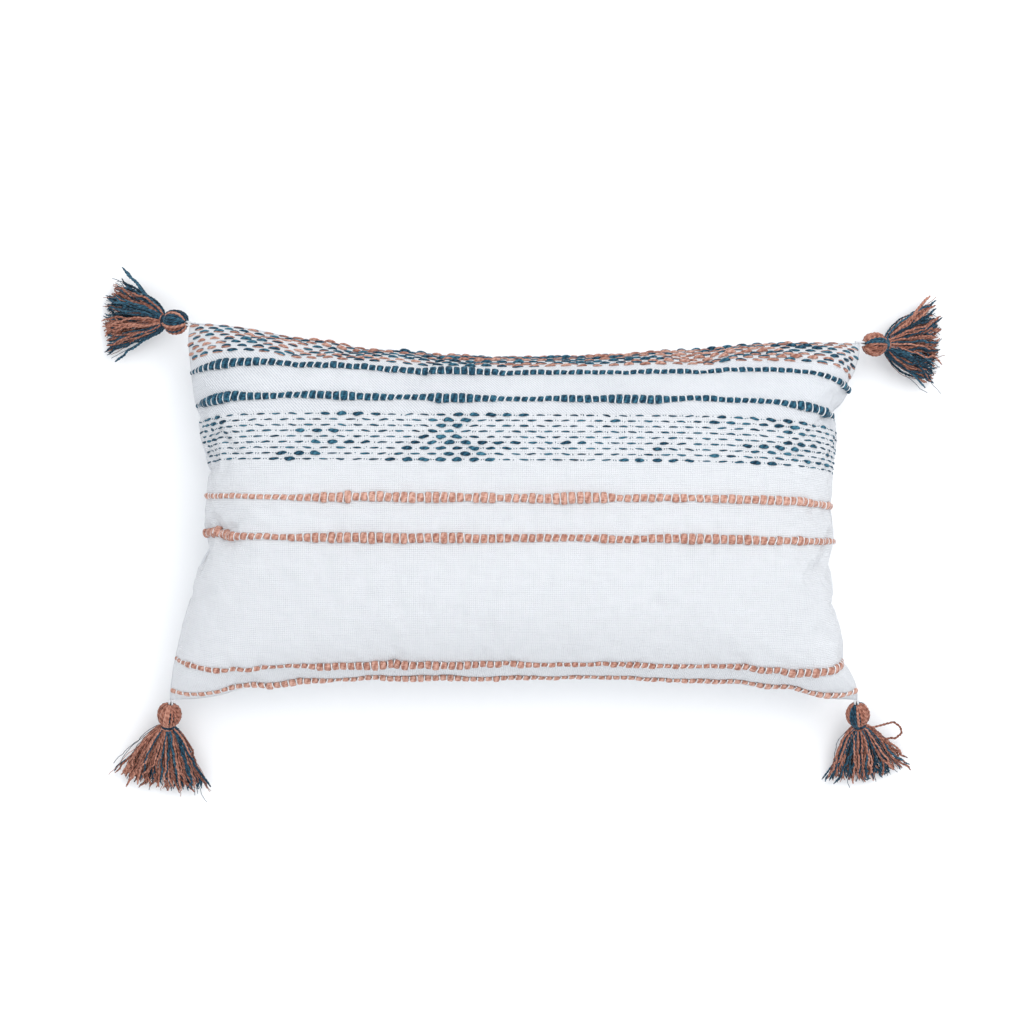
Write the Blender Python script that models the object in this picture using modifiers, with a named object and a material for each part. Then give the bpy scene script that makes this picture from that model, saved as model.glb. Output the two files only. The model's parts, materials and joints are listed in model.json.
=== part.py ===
"""Lumbar throw pillow with thick woven stripes and a tassel on each corner, lying face up.

Metres, +Z up. The origin is the middle of the flat patch that the pillow rests on, +X runs along the
long side and +Y towards the navy stripes. The cover is one front and one back panel sewn together,
with a concealed zip in the seam at -Y, round a filled inner cushion.
"""

import math

import bmesh
import bpy
from mathutils import Matrix, Vector

# Cover: the four seam corners seen from above, and how far the stuffing pulls each side in
CORNERS = {
    "top_left": (-0.284, 0.165),
    "top_right": (0.293, 0.148),
    "bottom_left": (-0.301, -0.159),
    "bottom_right": (0.290, -0.159),
}
# Each side's pull, how flat its middle is, and how far that middle lies towards its start
SIDES = {
    "top": (0.022, 1.2, 0.12),
    "bottom": (0.019, 2.4, 0.0),
    "left": (0.025, 1.0, 0.0),
    "right": (0.025, 2.0, 0.0),
}
THICKNESS = 0.140
SEAM_HEIGHT = 0.062
CORNER_DROP = 0.017
CLOTH = 0.0012
TOUCHING_GAP = 0.0003
BACK_CROWN = 0.078
PANEL_COLUMNS = 20
PANEL_ROWS = 12
UNDERSIDE_LIFT = 0.0006

# Inner cushion, as shares of the cover
CASING_REACH = 0.92
CASING_CLOTH = 0.0004
CASING_SLACK = 0.002
FILL_REACH = 0.86
FILL_SLACK = 0.008
FILL_EDGE = 0.002

# Thick stripe yarns: radius, and each one's share of the way across the cloth from the top seam
STRIPE_RADIUS = 0.0024
STRIPE_GAP = 0.0010
STRIPES = {
    "navy_stripe_1": 0.136,
    "navy_stripe_2": 0.223,
    "terracotta_stripe_1": 0.459,
    "terracotta_stripe_2": 0.554,
    "terracotta_stripe_3": 0.885,
    "terracotta_stripe_4": 0.975,
}
STRIPE_POINTS = PANEL_COLUMNS - 1
STRIPE_END = 1 - 2 / PANEL_COLUMNS

# Concealed zip in the bottom seam
ZIP_HALF_LENGTH = 0.176
ZIP_LIPS = 0.0072
ZIP_LIPS_REACH = 0.206
ZIP_TAPE_WIDTH = 0.010
ZIP_TAPE = 0.0005
ZIP_TAPE_END = 0.010
ZIP_COIL = 0.0018
ZIP_COIL_OUT = (-0.0021, -0.0003)
ZIP_STOP_LENGTH = 0.0026
ZIP_STOP_HALF = 0.0021
ZIP_FACE = 0.140
EDGE_ROUNDING = 0.0003

# Slider and pull, measured from the slider's middle and outwards from the zip's face
SLIDER_PLACE = 0.165
SLIDER_SIZE = (0.011, 0.0034, 0.0062)
SLIDER_FACE = 0.0014
SLIDER_CHANNEL = 0.0047
SLIDER_CHANNEL_OUT = (-0.0040, 0.0002)
ARCH_HALF = (0.0026, 0.0008)
ARCH_OUT = (0.0010, 0.0046)
EYE_HALF = (0.0013, 0.0020)
EYE_OUT = (0.00148, 0.0037)
PULL_LENGTH = 0.024
PULL_WIDTH = 0.0052
PULL_THICKNESS = 0.001
PULL_OUT = 0.0026
PULL_END = 0.0007
WINDOW_ALONG = (-0.0043, -0.0007)
WINDOW_OUT = (0.001, 0.005)
WINDOW_HALF = 0.00115

# Tassels: direction seen from above in degrees, length from the corner, half the skirt's width
TASSELS = {
    "top_left": (172.0, 0.089, 0.033),
    "top_right": (0.0, 0.084, 0.036),
    "bottom_left": (260.0, 0.092, 0.040),
    "bottom_right": (280.0, 0.083, 0.034),
}
SKIRT_RINGS = ((0.30, 0.36, 0.0070), (0.60, 0.72, 0.0085), (0.88, 1.0, 0.0070))
SKIRT_NECK = ((0.0004, 0.0031, 0.0031), (0.0049, 0.0044, 0.0042))
WRAP_GAP = 0.0009
LOOP_START = 0.0016
LOOP_LENGTH = 0.0030
LOOP_RADIUS = 0.0010
HEAD_RADIUS = 0.0102
HEAD_PLACE = 0.0110
WRAP_RADIUS = 0.0052
WRAP_YARN = 0.0016
SKIRT_TIP_HALF = 0.0045
SKIRT_TIP_WIDTH = 0.85
SKIRT_CLEARANCE = 0.0030

COLOURS = {
    "white_cloth": ((0.86, 0.87, 0.88), 0.9, 0.0),
    "back_cloth": ((0.83, 0.84, 0.85), 0.9, 0.0),
    "lining": ((0.88, 0.88, 0.87), 0.85, 0.0),
    "fibre": ((0.93, 0.93, 0.92), 1.0, 0.0),
    "navy_yarn": ((0.03, 0.09, 0.16), 0.9, 0.0),
    "terracotta_yarn": ((0.66, 0.36, 0.25), 0.9, 0.0),
    "mixed_yarn": ((0.22, 0.20, 0.24), 0.9, 0.0),
    "zip_tape": ((0.82, 0.82, 0.81), 0.8, 0.0),
    "zip_nylon": ((0.80, 0.80, 0.79), 0.45, 0.0),
    "zip_metal": ((0.72, 0.72, 0.71), 0.3, 0.9),
}


def clear_scene():
    for obj in list(bpy.data.objects):
        bpy.data.objects.remove(obj, do_unlink=True)


def new_collection(name):
    collection = bpy.data.collections.new(name)
    bpy.context.scene.collection.children.link(collection)
    return collection


def material(name):
    found = bpy.data.materials.get(name)
    if found:
        return found
    colour, roughness, metallic = COLOURS[name]
    made = bpy.data.materials.new(name)
    made.use_nodes = True
    shader = made.node_tree.nodes["Principled BSDF"]
    shader.inputs["Base Color"].default_value = (*colour, 1.0)
    shader.inputs["Roughness"].default_value = roughness
    shader.inputs["Metallic"].default_value = metallic
    return made


def finish_object(name, data, finish, parent=None):
    """Puts the data in the scene as one named part."""
    obj = bpy.data.objects.new(name, data)
    obj.data.materials.append(material(finish))
    PARTS.objects.link(obj)
    obj.parent = parent
    return obj


def mesh_part(name, bm, finish, smooth=True, parent=None):
    bmesh.ops.recalc_face_normals(bm, faces=bm.faces)
    mesh = bpy.data.meshes.new(name)
    bm.to_mesh(mesh)
    bm.free()
    if smooth:
        mesh.shade_smooth()
        mesh.set_sharp_from_angle(angle=math.radians(40))
    return finish_object(name, mesh, finish, parent)


def empty(name, place, turn=(0, 0, 0), parent=None):
    obj = bpy.data.objects.new(name, None)
    obj.location = place
    obj.rotation_euler = turn
    obj.empty_display_size = 0.01
    PARTS.objects.link(obj)
    obj.parent = parent
    return obj


# The cushion's surfaces, in shares u (left to right) and v (bottom to top), each from -1 to 1


def between(a, b, share):
    return a + (b - a) * share


def pull(side, share):
    """How far a side is pulled in at this share of its length, from -1 to 1: not at all at its corners."""
    most, flatness, shift = SIDES[side]
    share += shift * (1 - share * share)
    return most * math.cos(math.pi / 2 * abs(share) ** flatness) ** 2


def plan(u, v):
    """Where the share (u, v) of the cover lies seen from above."""
    east = (u + 1) / 2
    north = (v + 1) / 2
    x, y = (
        between(
            between(CORNERS["bottom_left"][k], CORNERS["bottom_right"][k], east),
            between(CORNERS["top_left"][k], CORNERS["top_right"][k], east),
            north,
        )
        for k in (0, 1)
    )
    x += (1 - east) * pull("left", v) - east * pull("right", v)
    y += (1 - north) * pull("bottom", u) - north * pull("top", u)
    return x, y


def seam_height(u, v):
    """Height of the seam's plane: level, but drooping at the four corners."""
    return SEAM_HEIGHT - CORNER_DROP * (u * v) ** 6


def dome(u, v):
    return math.sqrt(max(0.0, 1 - u * u) * max(0.0, 1 - v * v))


def cloth_point(u, v, crown, edge, reach=1.0, floor=0.0):
    """A point of a panel that rises by crown (falls, if below 0) from edge above or below the seam's plane."""
    x, y = plan(u * reach, v * reach)
    height = seam_height(u * reach, v * reach) + math.copysign(edge, crown) + crown * dome(u, v)
    return Vector((x, y, max(height, floor)))


def rounded(share):
    """Spaces grid lines closer together towards the seam, where the cloth turns most."""
    return math.sin(math.pi / 2 * share)


def lips(u, v, edge):
    """Half the gap between the panels' edges: open along the zip, and closed elsewhere."""
    along_zip = v < -0.999 and abs(plan(u, v)[0]) < ZIP_LIPS_REACH
    return ZIP_LIPS / 2 if along_zip else edge


def panel(name, crown, thickness, finish, reach=1.0, floor=0.0, zipped=False):
    """A sheet of cloth over or under the cushion: an open surface, thickened away from the cushion."""
    bm = bmesh.new()
    bmesh.ops.create_grid(bm, x_segments=PANEL_COLUMNS, y_segments=PANEL_ROWS, size=1)
    for vert in bm.verts:
        u, v = rounded(vert.co.x), rounded(vert.co.y)
        edge = TOUCHING_GAP / 2
        if zipped:
            edge = lips(u, v, edge)
        vert.co = cloth_point(u, v, crown, edge, reach, floor)
    if crown < 0:
        bmesh.ops.reverse_faces(bm, faces=bm.faces)
    mesh = bpy.data.meshes.new(name)
    bm.to_mesh(mesh)
    bm.free()
    mesh.shade_smooth()
    obj = finish_object(name, mesh, finish)
    solid = obj.modifiers.new("Cloth", "SOLIDIFY")
    solid.thickness = thickness
    solid.offset = 1.0
    return obj


def press_flat(obj):
    """Brings the parts of the underside that all but touch the floor down to it."""
    bpy.context.view_layer.update()
    solid = obj.evaluated_get(bpy.context.evaluated_depsgraph_get())
    mesh = bpy.data.meshes.new_from_object(solid)
    obj.modifiers.clear()
    obj.data = mesh
    for vert in mesh.vertices:
        if vert.co.z < UNDERSIDE_LIFT:
            vert.co.z = 0.0


def cover():
    panel("cover_front_panel", FRONT_CROWN, CLOTH, "white_cloth", zipped=True)
    press_flat(panel("cover_back_panel", -BACK_CROWN, CLOTH, "back_cloth", floor=CLOTH, zipped=True))


def insert():
    floor = CLOTH + CASING_SLACK / 2
    crown = FRONT_CROWN - CASING_SLACK
    panel("insert_casing_front", crown, CASING_CLOTH, "lining", CASING_REACH)
    casing_floor = floor + CASING_CLOTH
    panel("insert_casing_back", -BACK_CROWN, CASING_CLOTH, "lining", CASING_REACH, casing_floor)

    bm = bmesh.new()
    bmesh.ops.create_grid(bm, x_segments=PANEL_COLUMNS - 4, y_segments=PANEL_ROWS - 2, size=1)
    raised = bmesh.ops.extrude_face_region(bm, geom=bm.faces[:])["geom"]
    top = {item for item in raised if isinstance(item, bmesh.types.BMVert)}
    for vert in bm.verts:
        u, v = rounded(vert.co.x), rounded(vert.co.y)
        rise = crown - FILL_SLACK if vert in top else FILL_SLACK - BACK_CROWN
        vert.co = cloth_point(u, v, rise, FILL_EDGE, FILL_REACH, casing_floor + CASING_SLACK / 2)
    mesh_part("insert_fill", bm, "fibre")


def row_share(u, share, steps=60):
    """The v that is this share of the way across the front panel's cloth, measured from the top seam."""
    shares = [rounded(1 - 2 * k / steps) for k in range(steps + 1)]
    points = [cloth_point(u, v, FRONT_CROWN, 0) for v in shares]
    lengths = [0.0]
    for before, after in zip(points, points[1:]):
        lengths.append(lengths[-1] + (after - before).length)
    wanted = share * lengths[-1]
    k = max(1, next(k for k, length in enumerate(lengths) if length >= wanted))
    part = (wanted - lengths[k - 1]) / (lengths[k] - lengths[k - 1])
    return between(shares[k - 1], shares[k], part)


def outward(u, v, step=0.004):
    """The front panel's outward direction."""
    west, east = max(-1, u - step), min(1, u + step)
    south, north = max(-1, v - step), min(1, v + step)
    across = cloth_point(east, v, FRONT_CROWN, 0) - cloth_point(west, v, FRONT_CROWN, 0)
    up = cloth_point(u, north, FRONT_CROWN, 0) - cloth_point(u, south, FRONT_CROWN, 0)
    return across.cross(up).normalized()


def tube(name, points, radius, finish, parent=None):
    curve = bpy.data.curves.new(name, "CURVE")
    curve.dimensions = "3D"
    curve.bevel_depth = radius
    curve.bevel_resolution = 1
    curve.use_fill_caps = True
    spline = curve.splines.new("POLY")
    spline.points.add(len(points) - 1)
    for point, place in zip(spline.points, points):
        point.co = (*place, 1.0)
    return finish_object(name, curve, finish, parent)


def stripes():
    """Thick yarns that lie on the front panel from side seam to side seam, along rows of its weave."""
    lift = CLOTH + STRIPE_GAP + STRIPE_RADIUS
    for name, share in STRIPES.items():
        points = []
        for k in range(STRIPE_POINTS):
            u = rounded(STRIPE_END * (2 * k / (STRIPE_POINTS - 1) - 1))
            v = row_share(u, share)
            points.append(cloth_point(u, v, FRONT_CROWN, 0) + lift * outward(u, v))
        tube(name, points, STRIPE_RADIUS, name.split("_")[0] + "_yarn")


# The zip. It faces -Y: out is the distance in front of the panels' edges, up is the height above the seam


def zip_block(name, along, out, up, finish, bevel=EDGE_ROUNDING, parent=None):
    """A bar of the zip from its lowest to its highest x, out and up, with its edges rounded."""
    bm = bmesh.new()
    bmesh.ops.create_cube(bm, size=1)
    centre = Vector((sum(along) / 2, -ZIP_FACE - sum(out) / 2, SEAM_HEIGHT + sum(up) / 2))
    size = (along[1] - along[0], out[1] - out[0], up[1] - up[0])
    bmesh.ops.scale(bm, vec=size, verts=bm.verts)
    if parent is None:
        bmesh.ops.translate(bm, vec=centre, verts=bm.verts)
    obj = mesh_part(name, bm, finish, smooth=False, parent=parent)
    if parent is not None:
        obj.location = centre - parent.location
    if bevel:
        rounding = obj.modifiers.new("Edges", "BEVEL")
        rounding.width = bevel
        rounding.segments = 1
    return obj


def cutter(name, along, out, up):
    obj = zip_block(name, along, out, up, "zip_metal", bevel=0)
    PARTS.objects.unlink(obj)
    CUTTERS.objects.link(obj)
    obj.hide_render = True
    obj.display_type = "WIRE"
    return obj


def combine(obj, other, operation):
    step = obj.modifiers.new(operation.title(), "BOOLEAN")
    step.operation = operation
    step.object = other
    step.solver = "EXACT"


def both_ways(half, middle=0.0):
    return middle - half, middle + half


def zip_closure():
    half = ZIP_HALF_LENGTH
    gap = TOUCHING_GAP / 2
    tape_out = (ZIP_COIL_OUT[0] - TOUCHING_GAP - ZIP_TAPE, ZIP_COIL_OUT[0] - TOUCHING_GAP)
    tape_along = both_ways(half + ZIP_TAPE_END)
    for side, sign in (("front", 1), ("back", -1)):
        tape_up = sorted((sign * gap, sign * ZIP_TAPE_WIDTH))
        coil_up = sorted((sign * gap, sign * (gap + ZIP_COIL)))
        zip_block(f"zipper_tape_{side}", tape_along, tape_out, tape_up, "zip_tape", bevel=0)
        zip_block(f"zipper_coil_{side}", both_ways(half), ZIP_COIL_OUT, coil_up, "zip_nylon")
    near, far = half + TOUCHING_GAP, half + TOUCHING_GAP + ZIP_STOP_LENGTH
    stop_up = both_ways(ZIP_STOP_HALF)
    zip_block("zipper_top_stop", (near, far), ZIP_COIL_OUT, stop_up, "zip_metal")
    zip_block("zipper_bottom_stop", (-far, -near), ZIP_COIL_OUT, stop_up, "zip_metal")


def zip_slider():
    """A channel that straddles the coils, with an arch on its face for the pull."""
    length, depth, width = SLIDER_SIZE
    middle = SLIDER_PLACE
    body_out = (SLIDER_FACE - depth, SLIDER_FACE)
    body = zip_block("zipper_slider", both_ways(length / 2, middle), body_out, both_ways(width / 2), "zip_metal")
    arch = cutter("arch", both_ways(ARCH_HALF[0], middle), ARCH_OUT, both_ways(ARCH_HALF[1]))
    channel = cutter("channel", both_ways(length, middle), SLIDER_CHANNEL_OUT, both_ways(SLIDER_CHANNEL / 2))
    eye = cutter("eye", both_ways(EYE_HALF[0], middle), EYE_OUT, both_ways(EYE_HALF[1]))
    combine(body, arch, "UNION")
    combine(body, channel, "DIFFERENCE")
    combine(body, eye, "DIFFERENCE")

    pivot = empty("zipper_pull_pivot", (middle, -ZIP_FACE - PULL_OUT, SEAM_HEIGHT))
    reach = (middle - PULL_LENGTH, middle + PULL_END)
    thick = both_ways(PULL_THICKNESS / 2, PULL_OUT)
    tab = zip_block("zipper_pull", reach, thick, both_ways(PULL_WIDTH / 2), "zip_metal", parent=pivot)
    window_along = (middle + WINDOW_ALONG[0], middle + WINDOW_ALONG[1])
    window = cutter("window", window_along, WINDOW_OUT, both_ways(WINDOW_HALF))
    combine(tab, window, "DIFFERENCE")


# Tassels. Each is built along +X from its corner, and its pivot turns it outwards and down


def tapered_body(name, sections, finish, parent):
    """A closed body through elliptical sections, each (distance, half width, half height)."""
    bm = bmesh.new()
    bmesh.ops.create_circle(bm, cap_ends=True, segments=16, radius=1.0)
    bmesh.ops.rotate(bm, verts=bm.verts, matrix=Matrix.Rotation(math.pi / 2, 3, "Y"))
    ring = bm.verts[:]
    old_width, old_height = 1.0, 1.0
    for k, (distance, half_width, half_height) in enumerate(sections):
        if k:
            end_cap = [face for face in bm.faces if all(vert in ring for vert in face.verts)]
            raised = bmesh.ops.extrude_face_region(bm, geom=end_cap)["geom"]
            ring = [item for item in raised if isinstance(item, bmesh.types.BMVert)]
        if k > 1:
            bmesh.ops.delete(bm, geom=end_cap, context="FACES_ONLY")
        for vert in ring:
            vert.co.x = distance
            vert.co.y *= half_width / old_width
            vert.co.z *= half_height / old_height
        old_width, old_height = half_width, half_height
    return mesh_part(name, bm, finish, parent=parent)


def tassel(corner, turn, length, half_width):
    u = 1 if "right" in corner else -1
    v = 1 if "top" in corner else -1
    place = Vector((*plan(u, v), seam_height(u, v)))
    droop = math.asin((place.z - SKIRT_TIP_HALF - SKIRT_CLEARANCE) / length)
    loop_pivot = empty(f"tassel_{corner}_loop_pivot", place, (0, droop, math.radians(turn)))
    loop_ends = [(LOOP_START, 0, 0), (LOOP_START + LOOP_LENGTH, 0, 0)]
    tube(f"tassel_{corner}_loop", loop_ends, LOOP_RADIUS, "white_cloth", loop_pivot)
    lift_pivot = empty(f"tassel_{corner}_pivot", loop_ends[1], parent=loop_pivot)

    bm = bmesh.new()
    bmesh.ops.create_uvsphere(bm, u_segments=14, v_segments=8, radius=HEAD_RADIUS)
    head = mesh_part(f"tassel_{corner}_head", bm, "mixed_yarn", parent=lift_pivot)
    head.rotation_euler.y = math.pi / 2
    head.location.x = HEAD_PLACE

    wrap_place = HEAD_PLACE + HEAD_RADIUS + WRAP_GAP
    bm = bmesh.new()
    bmesh.ops.create_circle(bm, segments=8, radius=WRAP_YARN)
    bmesh.ops.translate(bm, vec=(0, WRAP_RADIUS, 0), verts=bm.verts)
    spin = {"axis": (1, 0, 0), "cent": (0, 0, 0), "steps": 16, "angle": 2 * math.pi, "use_merge": True}
    bmesh.ops.spin(bm, geom=bm.edges[:], **spin)
    wrap = mesh_part(f"tassel_{corner}_neck_wrap", bm, "navy_yarn", parent=lift_pivot)
    wrap.location.x = wrap_place

    start = HEAD_PLACE + HEAD_RADIUS
    end = length - loop_ends[1][0]
    skirt = [(start + along, wide, high) for along, wide, high in SKIRT_NECK]
    for share, width_share, high in SKIRT_RINGS:
        skirt.append((between(start, end, share), width_share * half_width, high))
    skirt.append((end, SKIRT_TIP_WIDTH * half_width, SKIRT_TIP_HALF))
    tapered_body(f"tassel_{corner}_skirt", skirt, "mixed_yarn", lift_pivot)


clear_scene()
PARTS = new_collection("throw_pillow")
CUTTERS = new_collection("cutters")
FRONT_CROWN = THICKNESS - SEAM_HEIGHT - CLOTH - TOUCHING_GAP / 2

cover()
insert()
stripes()
zip_closure()
zip_slider()
for corner, (turn, length, half_width) in TASSELS.items():
    tassel(corner, turn, length, half_width)
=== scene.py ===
"""Looks of the lumbar throw pillow: sewn cloth, woven yarn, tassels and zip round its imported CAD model.

Everything is in metres, in the CAD frame. "Flat" coordinates are places on the cloth before it was
stuffed: x from the middle to the right, y from the middle towards the navy stripes.
"""

import json
import math

import bpy
import numpy as np
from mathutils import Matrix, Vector


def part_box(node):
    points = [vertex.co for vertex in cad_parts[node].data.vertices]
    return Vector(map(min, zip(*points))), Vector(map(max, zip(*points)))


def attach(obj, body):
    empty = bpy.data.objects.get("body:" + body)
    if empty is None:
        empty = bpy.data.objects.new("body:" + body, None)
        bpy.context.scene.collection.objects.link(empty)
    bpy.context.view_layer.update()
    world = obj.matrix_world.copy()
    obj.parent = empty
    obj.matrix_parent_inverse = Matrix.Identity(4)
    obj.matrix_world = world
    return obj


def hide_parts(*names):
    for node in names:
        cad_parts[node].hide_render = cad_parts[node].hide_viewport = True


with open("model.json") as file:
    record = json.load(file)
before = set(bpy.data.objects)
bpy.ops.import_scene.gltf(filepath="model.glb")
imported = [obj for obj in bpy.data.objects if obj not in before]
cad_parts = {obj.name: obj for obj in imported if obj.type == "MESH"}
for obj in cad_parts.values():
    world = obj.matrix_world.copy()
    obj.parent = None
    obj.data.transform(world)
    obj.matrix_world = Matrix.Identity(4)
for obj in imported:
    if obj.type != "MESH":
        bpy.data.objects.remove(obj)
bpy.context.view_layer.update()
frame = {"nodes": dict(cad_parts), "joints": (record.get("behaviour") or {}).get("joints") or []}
random = np.random.default_rng(20)

# Cloth
CUT = (0.610, 0.356)
CELLS = (104, 60)
REFINE = 2
INFLATE_FRAMES = 18
CLOTH_THICK = 0.0009
SEAM_HEIGHT = 0.062
BACK_DEPTH = 0.074
# Each side of the seam: how far its middle is pulled in, how flat that middle is, and how far it lies
# towards the side's start
SIDES = {
    "top": (0.022, 1.2, 0.12),
    "bottom": (0.019, 2.4, 0.0),
    "left": (0.025, 1.0, 0.0),
    "right": (0.025, 2.0, 0.0),
}
SIDE_HOLD = 7
OUTLINE_SMOOTHING = 30
# Puckers eased along the top and bottom edges: how close to the edge, how many times, how much at the bottom
EDGE_CALM = 6
CALM_TIMES = 10
BOTTOM_CALM = 0.85
ZIP_REACH = 0.20
ZIP_END = 0.02
ZIP_OPEN = 0.0034
INSERT_SHARE = (0.925, 0.925, 0.955)
FILL_SHARE = (0.88, 0.88, 0.88)
FILL_LUMPS = 0.0025
FILL_DROP = 0.003

# Rows of yarn: distance from the top seam on the flat cloth
STRIPES = {
    "navy_stripe_1": 0.0485,
    "navy_stripe_2": 0.0792,
    "terracotta_stripe_1": 0.1635,
    "terracotta_stripe_2": 0.1974,
    "terracotta_stripe_3": 0.3150,
    "terracotta_stripe_4": 0.3465,
}
BEAD = 0.0066
BEAD_GAP = 0.0013
BEAD_PROFILE = (-1, -0.97, -0.88, -0.7, -0.35, 0, 0.35, 0.7, 0.88, 0.97, 1)
STRIPE_HALF_WIDTH = 0.0032
STRIPE_FLATNESS = 0.66
STRIPE_LIFT = 0.34
# A stripe yarn swells by this share over this distance, but stays between these shares of its width
STRIPE_SWELL = (0.55, 0.050)
STRIPE_WIDTHS = (0.72, 1.5)
# Bands of dashes: the first and last rows' distances from the top seam, and how many rows
TOP_BAND = (0.0025, 0.0355, 8)
NAVY_BAND = (0.0943, 0.1320, 9)
DASH_PITCH = 0.0138
DASH_FLATNESS = 0.65
DASH_SINK = 0.0004
# A dash's half width and half length: the thinnest's, and how much a full slub adds
NAVY_DASH_WIDTH = (0.00070, 0.00105)
NAVY_DASH_LENGTH = (0.0043, 0.0004)
TOP_DASH_WIDTH = (0.00150, 0.00080)
TOP_DASH_LENGTH = 0.0050
DOT = 0.00040
DOT_OFFSET = 0.0010
DOT_SHARE = 0.7
# The twill's distances from the top seam, and the spacing of its ribs along the cloth
TWILL = (0.0375, 0.0925, 0.0026)
BINDING_RADIUS = 0.00062

# Tassel yarn
HEAD_STRAND = 0.00112
HEAD_STRAND_COUNT = 27
WRAP_STRAND = 0.0008
WRAP_RADIUS = 0.0053
WRAP_PITCH = 0.0011
# Colour, the first turn's place along the neck, and how many turns
WRAPS = (("navy", -0.0021, 3), ("terracotta", 0.0013, 1))
SKIRT_HALF_THICKNESS = 0.0030
SKIRT_BULGE = 0.0052
STRAND = 0.00088
STRAND_PLY = 0.0068
PLY_GROOVE = 0.24
STRAND_COUNT = 135
STRAND_POINTS = 64
WISP = 0.00026
WISP_COUNT = 56
WISP_POINTS = 36
# The skirt's shortest and longest share of its length, its share of the width, and how far a strand waves
STRAND_SHAPE = ((0.84, 1.0), 0.90, 0.0034)
WISP_SHAPE = ((0.80, 1.05), 0.96, 0.0034)
STRAY_REACH = 0.031
STRAY_SWING = 0.0055
LOOP_STRAND = 0.0009
LOOP_ROOT = 0.004
YARN_TWIST = 1500.0
YARN_FUZZ = 0.12

# Zip coil
COIL_PITCH = 0.0016
COIL_HALF = (0.00062, 0.00060)
COIL_WIRE = 0.00028
COIL_END = 0.0003

CORNERS = ("top_left", "top_right", "bottom_left", "bottom_right")


# Camera, light and floor


def look_at(obj, target):
    way = Vector(target) - obj.location
    obj.rotation_euler = way.to_track_quat("-Z", "Y").to_euler()


def set_stage():
    """A camera straight above, two soft lights, a bright surrounding and a pale floor."""
    scene = bpy.context.scene
    scene.view_settings.view_transform = "Standard"
    camera_data = bpy.data.cameras.new("camera")
    camera_data.lens = 100
    camera_data.sensor_width = 36
    camera = bpy.data.objects.new("camera", camera_data)
    scene.collection.objects.link(camera)
    camera.location = (-0.0069, 0.0026, 2.50)
    scene.camera = camera

    for name, place, size, power in (
        ("key_light", (0.8, 0.9, 2.2), 1.6, 22.0),
        ("top_light", (-0.2, -0.3, 2.8), 2.6, 16.0),
    ):
        data = bpy.data.lights.new(name, "AREA")
        data.size = size
        data.energy = power
        light = bpy.data.objects.new(name, data)
        scene.collection.objects.link(light)
        light.location = place
        look_at(light, (0, 0, 0.05))

    world = bpy.data.worlds.new("studio")
    world.use_nodes = True
    world.node_tree.nodes["Background"].inputs["Color"].default_value = (0.93, 0.96, 1.0, 1)
    world.node_tree.nodes["Background"].inputs["Strength"].default_value = 0.98
    scene.world = world

    bpy.ops.mesh.primitive_plane_add(size=8)
    floor = bpy.context.object
    floor.name = "floor"
    floor.data.materials.append(plain_material("floor_paint", (0.95, 0.95, 0.95), 0.9))


# Materials


class Nodes:
    """Short forms for building a material's node tree."""

    def __init__(self, name, roughness=0.9, metallic=0.0):
        self.material = bpy.data.materials.new(name)
        self.material.use_nodes = True
        self.tree = self.material.node_tree
        self.shader = self.tree.nodes["Principled BSDF"]
        self.shader.inputs["Roughness"].default_value = roughness
        self.shader.inputs["Metallic"].default_value = metallic

    def add(self, kind, inputs=(), **settings):
        node = self.tree.nodes.new("ShaderNode" + kind)
        for key, value in settings.items():
            setattr(node, key, value)
        for key, value in dict(inputs).items():
            self.feed(node.inputs[key], value)
        return node

    def feed(self, socket, value):
        if isinstance(value, bpy.types.NodeSocket):
            self.tree.links.new(value, socket)
        else:
            socket.default_value = value

    def math(self, operation, *values):
        return self.add("Math", dict(enumerate(values)), operation=operation).outputs[0]

    def mix(self, share, low, high):
        node = self.add("Mix", data_type="RGBA")
        for index, value in ((0, share), (6, low), (7, high)):
            self.feed(node.inputs[index], value)
        return node.outputs[2]

    def noise(self, vector, scale, detail=2.0, roughness=0.5):
        values = {"Vector": vector, "Scale": scale, "Detail": detail, "Roughness": roughness}
        return self.add("TexNoise", values).outputs[0]

    def stretched(self, vector, scale):
        return self.add("Mapping", {"Vector": vector, "Scale": scale}).outputs[0]

    def ramp(self, value, stops):
        node = self.add("ValToRGB", {"Fac": value})
        elements = node.color_ramp.elements
        while len(elements) < len(stops):
            elements.new(0.5)
        for element, (place, colour) in zip(elements, stops):
            element.position = place
            element.color = (*colour, 1)
        return node.outputs[0]

    def attribute(self, name):
        return self.add("Attribute", attribute_name=name)

    def bump(self, height, distance, strength=1.0):
        values = {"Height": height, "Distance": distance, "Strength": strength}
        self.feed(self.shader.inputs["Normal"], self.add("Bump", values).outputs[0])

    def colour(self, value):
        self.feed(self.shader.inputs["Base Color"], value)

    def sheen(self, weight, tint=(1, 1, 1)):
        self.shader.inputs["Sheen Weight"].default_value = weight
        self.shader.inputs["Sheen Roughness"].default_value = 0.5
        self.shader.inputs["Sheen Tint"].default_value = (*tint, 1)


def plain_material(name, colour, roughness):
    made = Nodes(name, roughness)
    place = made.add("TexCoord").outputs["Object"]
    grain = made.noise(place, 3.0, 3.0)
    darker = tuple(0.985 * part for part in colour)
    made.colour(made.ramp(grain, ((0.3, darker), (0.7, colour))))
    return made.material


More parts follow.
